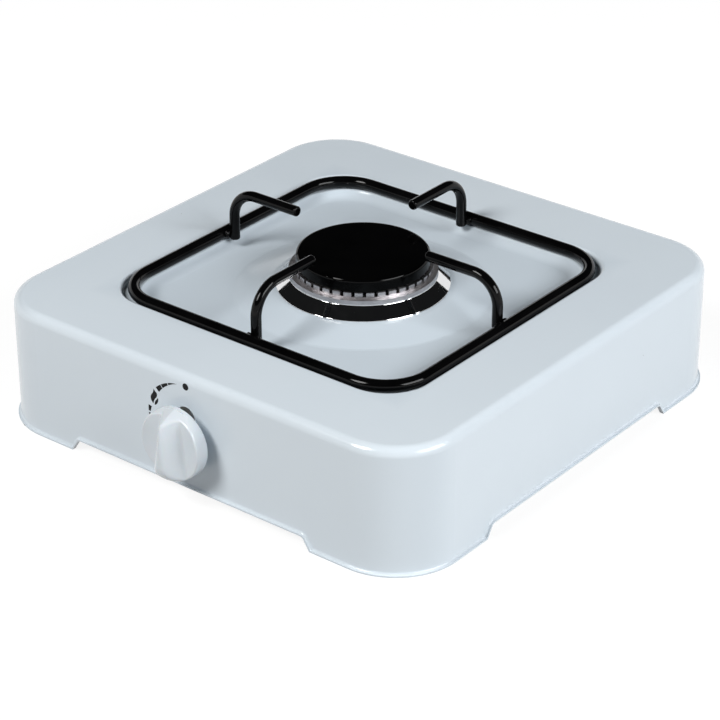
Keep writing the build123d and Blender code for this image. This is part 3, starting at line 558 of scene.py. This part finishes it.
def wedge_width(angle):
    """The wedge grows from a point to its full width."""
    return max(WEDGE_TIP_WIDTH, WEDGE_WIDTH * (angle - WEDGE_START) / (WEDGE_END - WEDGE_START))


def tail_width(angle):
    """The tail narrows again after the flame."""
    return TAIL_WIDTH * (TAIL_END - angle) / (TAIL_END - TAIL_START)


def curved(*spans, steps=12):
    """Closed outline from Bezier spans, each with its start, two handles and end."""
    points = []
    for span in spans:
        corners = [Vector(q).to_3d() for q in span]
        points += [p.to_2d() for p in interpolate_bezier(*corners, steps + 1)][:-1]
    return [(p.x, p.y) for p in points]


def add_dial():
    """Dot, growing wedge, flame with its small tongue, and the narrowing tail."""
    centre_x, centre_z = dial_point(DOT_ANGLE, DIAL_RADIUS)
    turn = [2 * pi * i / DOT_STEPS for i in range(DOT_STEPS)]
    dot = [(centre_x + DOT_RADIUS * cos(a), centre_z + DOT_RADIUS * sin(a)) for a in turn]
    panel_patch("dial_dot", dot)
    for i, (start, end) in enumerate(WEDGE_BLOCKS):
        panel_patch(f"dial_wedge_{i + 1}", band_block(start, end, wedge_width))
    for i, (start, end) in enumerate(TAIL_BLOCKS):
        panel_patch(f"dial_tail_{i + 1}", band_block(start, end, tail_width))
    tip, right, foot, left = (-21.3, 56.2), (-19.1, 53.2), (-21.8, 47.4), (-23.5, 50.4)
    panel_patch("dial_flame", curved(
        (tip, (-21.1, 54.9), (-19.1, 54.6), right),
        (right, (-19.1, 51.2), (-21.4, 50.6), foot),
        (foot, (-22.9, 48.2), (-23.5, 49.2), left),
        (left, (-23.5, 52.6), (-21.6, 52.6), tip),
    ))
    tip, foot = (-18.6, 51.7), (-20.9, 46.9)
    panel_patch("dial_flame_tongue", curved(
        (tip, (-18.0, 49.8), (-19.2, 47.4), foot),
        (foot, (-21.2, 49.2), (-19.8, 49.6), tip),
    ))


def hole_reach(angle):
    """Distance of the keyhole's edge from its middle: a round hole with an upright slot across it."""
    aside, rise = abs(cos(angle)), abs(sin(angle))
    if SLOT_RADIUS * rise <= SLOT_OFFSET * aside:
        return max(HOLE_RADIUS, SLOT_RADIUS / aside)
    end = SLOT_OFFSET * rise + sqrt(SLOT_RADIUS ** 2 - (SLOT_OFFSET * aside) ** 2)
    return max(HOLE_RADIUS, end)


def add_hole_bead():
    """Rounded bead of enamel round the keyhole behind the knob."""
    around, across = BEAD_STEPS_AROUND, BEAD_STEPS_ACROSS
    shape = bmesh.new()
    rings = []
    for i in range(around):
        a = 2 * pi * i / around
        ring = []
        for j in range(across):
            b = 2 * pi * j / across
            reach = (hole_reach(a) + BEAD_RADIUS * cos(b)) * MM
            y = PANEL_Y + (BEAD_DEPTH + BEAD_RADIUS * sin(b)) * MM
            ring.append(shape.verts.new((reach * cos(a), y, HOLE_Z * MM + reach * sin(a))))
        rings.append(ring)
    for i in range(around):
        near, far = rings[i], rings[(i + 1) % around]
        for j in range(across):
            k = (j + 1) % across
            shape.faces.new((near[j], far[j], far[k], near[k]))
    bmesh.ops.recalc_face_normals(shape, faces=shape.faces)
    add_piece("panel_hole_bead", shape, materials["white_enamel"], "stove")


# Weld beads where each prong meets the frame

WELD_SIZE = Vector((1.5, 2.1, 2.5)) * MM
WELD_OFFSET = 2.7 * MM
WELD_SINK = 0.2 * MM
WELD_LUMP_HEIGHT = 0.16
WELD_LUMP_SCALE = 1.7
WELD_FINENESS = 4


def add_welds():
    """A lumpy bead on each side of each prong's leg, on the frame's inner side."""
    low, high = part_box("pan_support_frame")
    wire_z = (low.z + high.z) / 2
    for i, side in enumerate(("right", "back", "left", "front")):
        low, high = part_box("prong_" + side)
        turn = Matrix.Rotation(i * pi / 2, 4, "Z")
        middle = turn.inverted() @ ((low + high) / 2)
        reach = max((turn.inverted() @ corner).x for corner in (low, high))
        for j, way in enumerate((-1, 1)):
            shape = bmesh.new()
            bmesh.ops.create_icosphere(shape, subdivisions=WELD_FINENESS, radius=1.0)
            seed = Vector((3.1 * i, 5.7 * j, 1.9))
            centre = Vector((reach - WELD_SINK, middle.y + way * WELD_OFFSET, wire_z))
            for vert in shape.verts:
                lump = 1.0 + WELD_LUMP_HEIGHT * noise.noise(vert.co * WELD_LUMP_SCALE + seed)
                spot = Vector((vert.co[k] * WELD_SIZE[k] * lump for k in range(3)))
                vert.co = turn @ (spot + centre)
            name = f"weld_{side}_{j + 1}"
            add_piece(name, shape, materials["black_enamel"], "pan_support")


add_knob()
add_spring()
add_dial()
add_hole_bead()
add_welds()


# Stage: pale floor and a low round backdrop, soft lamps and the camera

FLOOR_HALF = 4.0
WALL_RADIUS = 3.4
WALL_HEIGHT = 1.10
WALL_STEPS = 128
STAGE_GLOW = 0.88
STAGE_SHOWN = 0.17
STAGE_BOUNCE = 0.36
LAMP_DISTANCE = 2.4
LAMP_AIM_HEIGHT = 0.05
ROOM_COLOUR = (0.92, 0.96, 1.0, 1.0)
ROOM_STRENGTH = 0.01


def make_stage_material():
    """Matt pale floor.

    The camera and mirrors see it partly lit by itself, so it is white with a shadow.
    """
    material, tree, shader = new_material(
        "stage_white", Roughness=0.9, Emission_Color=(1.0, 1.0, 1.0, 1.0)
    )
    path = tree.nodes.new("ShaderNodeLightPath").outputs
    mirrored = sums(tree, "MAXIMUM", path["Is Glossy Ray"], path["Is Transmission Ray"])
    seen = sums(tree, "MAXIMUM", path["Is Camera Ray"], mirrored)
    colour = tint(tree, seen, [STAGE_BOUNCE] * 3, [STAGE_SHOWN] * 3)
    feed(tree, shader.inputs["Base Color"], colour)
    feed(tree, shader.inputs["Emission Strength"], sums(tree, "MULTIPLY", seen, STAGE_GLOW))
    return material


def add_stage():
    """Floor and wall."""
    material = make_stage_material()
    floor = bmesh.new()
    bmesh.ops.create_grid(floor, x_segments=1, y_segments=1, size=FLOOR_HALF)
    wall = bmesh.new()
    low, high = [], []
    for i in range(WALL_STEPS):
        a = 2 * pi * i / WALL_STEPS
        x, y = WALL_RADIUS * cos(a), WALL_RADIUS * sin(a)
        low.append(wall.verts.new((x, y, 0.0)))
        high.append(wall.verts.new((x, y, WALL_HEIGHT)))
    for i in range(WALL_STEPS):
        j = (i + 1) % WALL_STEPS
        wall.faces.new((low[j], low[i], high[i], high[j]))
    for name, form in (("floor", floor), ("backdrop", wall)):
        mesh = bpy.data.meshes.new(name)
        form.to_mesh(mesh)
        form.free()
        mesh.materials.append(material)
        piece = bpy.data.objects.new(name, mesh)
        bpy.context.scene.collection.objects.link(piece)


def direction(azimuth, elevation):
    """Unit vector from the stove towards a place on the sky; azimuth 0 is the front, 90 the right."""
    a, e = radians(azimuth), radians(elevation)
    return Vector((sin(a) * cos(e), -cos(a) * cos(e), sin(e)))


def add_softbox(name, shape, azimuth, elevation, width, height, power, colour):
    """A soft lamp that faces the stove."""
    lamp = bpy.data.lights.new(name, "AREA")
    lamp.shape = shape
    lamp.size = width
    lamp.size_y = height
    lamp.energy = power
    lamp.color = colour
    holder = bpy.data.objects.new(name, lamp)
    bpy.context.scene.collection.objects.link(holder)
    way = direction(azimuth, elevation)
    holder.location = way * LAMP_DISTANCE + Vector((0, 0, LAMP_AIM_HEIGHT))
    holder.rotation_euler = way.to_track_quat("Z", "Y").to_euler()


def add_light():
    """Round left key, wide right side light and a dim room."""
    add_softbox(
        "key_left", "DISK", azimuth=-19, elevation=43, width=1.0, height=1.0,
        power=42.0, colour=(1.0, 0.995, 0.985),
    )
    add_softbox(
        "side_right", "RECTANGLE", azimuth=94, elevation=30, width=1.7, height=0.9,
        power=50.0, colour=(0.97, 0.985, 1.0),
    )
    world = bpy.data.worlds.new("room")
    bpy.context.scene.world = world
    world.use_nodes = True
    background = world.node_tree.nodes["Background"]
    background.inputs["Color"].default_value = ROOM_COLOUR
    background.inputs["Strength"].default_value = ROOM_STRENGTH


def add_camera():
    """The photograph's view."""
    back = direction(CAMERA_AZIMUTH, CAMERA_ELEVATION)
    level = Vector((cos(radians(CAMERA_AZIMUTH)), sin(radians(CAMERA_AZIMUTH)), 0.0))
    rise = back.cross(level)
    aim = Vector((0, 0, CAMERA_AIM_HEIGHT)) + CAMERA_ASIDE * level + CAMERA_RISE * rise
    c, s = cos(radians(CAMERA_ROLL)), sin(radians(CAMERA_ROLL))
    right = c * level + s * rise
    up = c * rise - s * level
    lens = bpy.data.cameras.new("camera")
    lens.lens = CAMERA_LENS
    lens.sensor_width = SENSOR_WIDTH
    lens.sensor_fit = "HORIZONTAL"
    camera = bpy.data.objects.new("camera", lens)
    bpy.context.scene.collection.objects.link(camera)
    pose = Matrix((right, up, back)).transposed().to_4x4()
    pose.translation = aim + CAMERA_DISTANCE * back
    camera.matrix_world = pose
    bpy.context.scene.camera = camera


add_stage()
add_light()
add_camera()
bpy.context.scene.view_settings.view_transform = "Standard"
